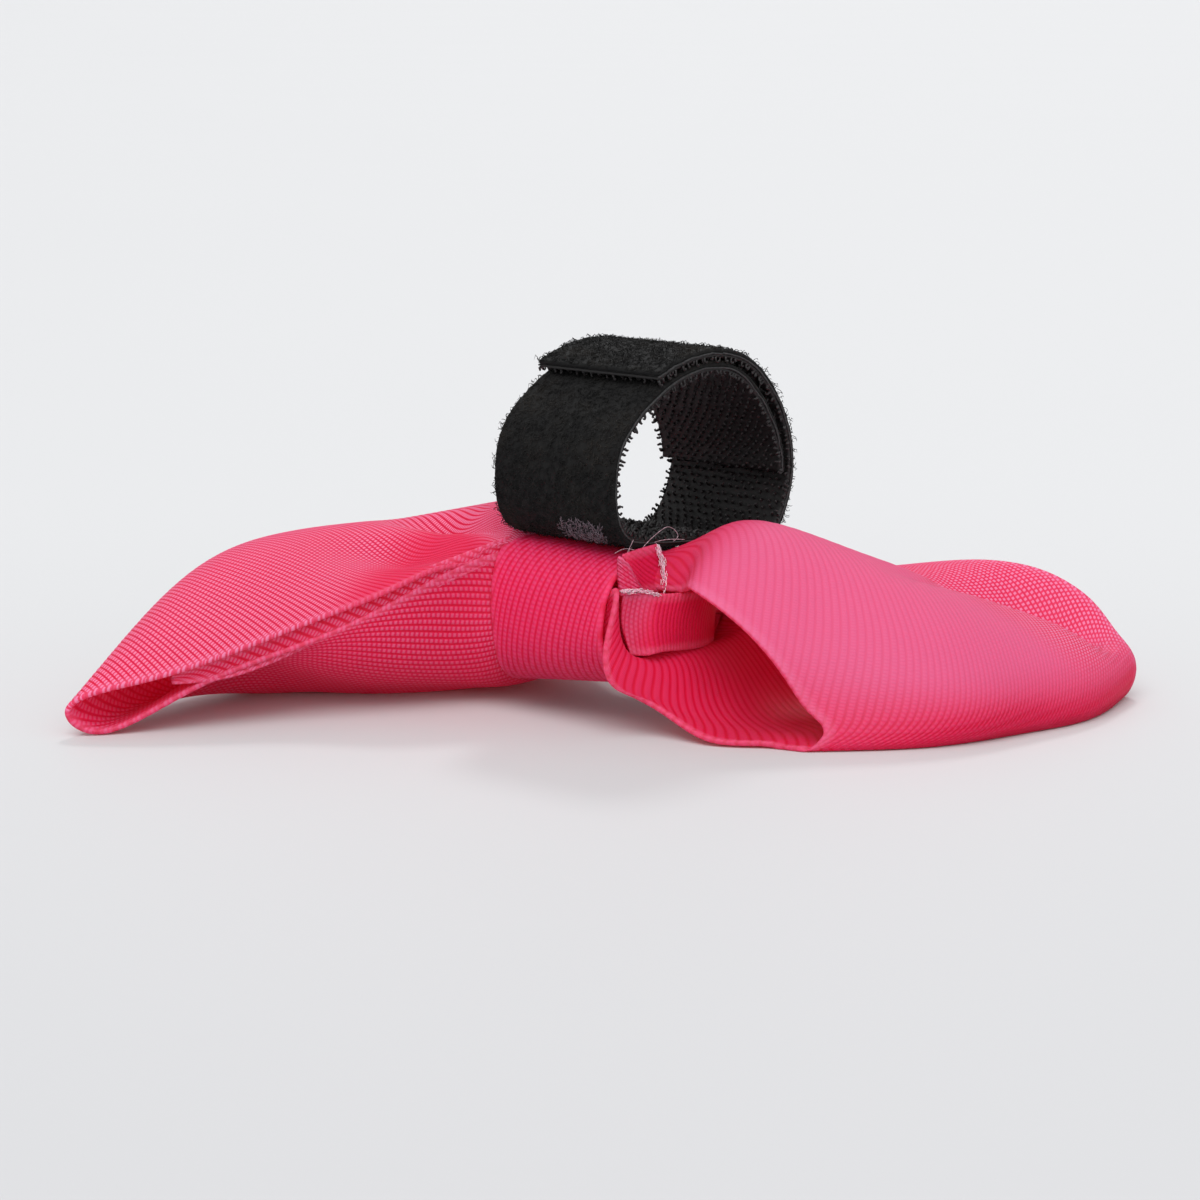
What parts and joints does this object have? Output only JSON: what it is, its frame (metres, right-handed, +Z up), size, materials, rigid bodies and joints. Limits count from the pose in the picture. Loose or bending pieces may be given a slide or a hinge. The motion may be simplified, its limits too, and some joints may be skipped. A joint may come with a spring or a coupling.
{
  "type": "ribbon bow with strap",
  "caption": "Ribbed pink ribbon bow with two hollow loops and a wrapped knot, on a black hook-and-loop strap that closes into a ring.",
  "frame": {"origin": "on the table under the middle of the part's bounding box", "axes": "+X is the strap ring's axis, towards the right loop; +Y is the way the knot band and strap wrap, across the knot; +Z is up, from the bow's face to the strap on its back"},
  "size_m": [0.095, 0.1074, 0.0456],
  "materials": {
    "pink_ribbon": "ribbed twill ribbon with a soft sheen",
    "pink_band": "ribbed twill ribbon wrapped tight",
    "pink_thread": "spun sewing thread",
    "grey_thread": "spun sewing thread, fuzzy",
    "black_pile": "brushed loop pile",
    "black_hook": "woven tape with rows of stiff hooks"
  },
  "bodies": {
    "root": {"right_loop": "pink_ribbon", "left_loop": "pink_ribbon", "gathered_waist": "pink_ribbon", "knot_band": "pink_band", "gathering_thread": "pink_thread", "band_seam_thread": "pink_thread", "strap_tack_thread": "grey_thread", "strap_base_pile": "black_pile", "strap_base_hook": "black_hook"},
    "inner_arm": {"strap_inner_arm_pile": "black_pile", "strap_inner_arm_hook": "black_hook"},
    "outer_arm": {"strap_outer_arm_pile": "black_pile", "strap_outer_arm_hook": "black_hook"},
    "tab": {"strap_tab_pile": "black_pile", "strap_tab_hook": "black_hook"}
  },
  "joints": [
    {"name": "strap_open", "type": "hinge", "parent": "root", "child": "outer_arm", "pos_m": [-0.00098, 0.02221, 0.01966], "axis": [-1, 0, 0], "range_deg": [0, 75]},
    {"name": "inner_arm_relax", "type": "hinge", "parent": "root", "child": "inner_arm", "pos_m": [-0.00098, -0.00695, 0.02491], "axis": [1, 0, 0], "range_deg": [0, 20]},
    {"name": "tab_peel", "type": "hinge", "parent": "outer_arm", "child": "tab", "pos_m": [-0.00098, 0.01282, 0.04549], "axis": [-1, 0, 0], "range_deg": [0, 100]}
  ],
  "couplings": [
    {"joint": "inner_arm_relax", "follows": "strap_open", "ratio": 0.25}
  ]
}
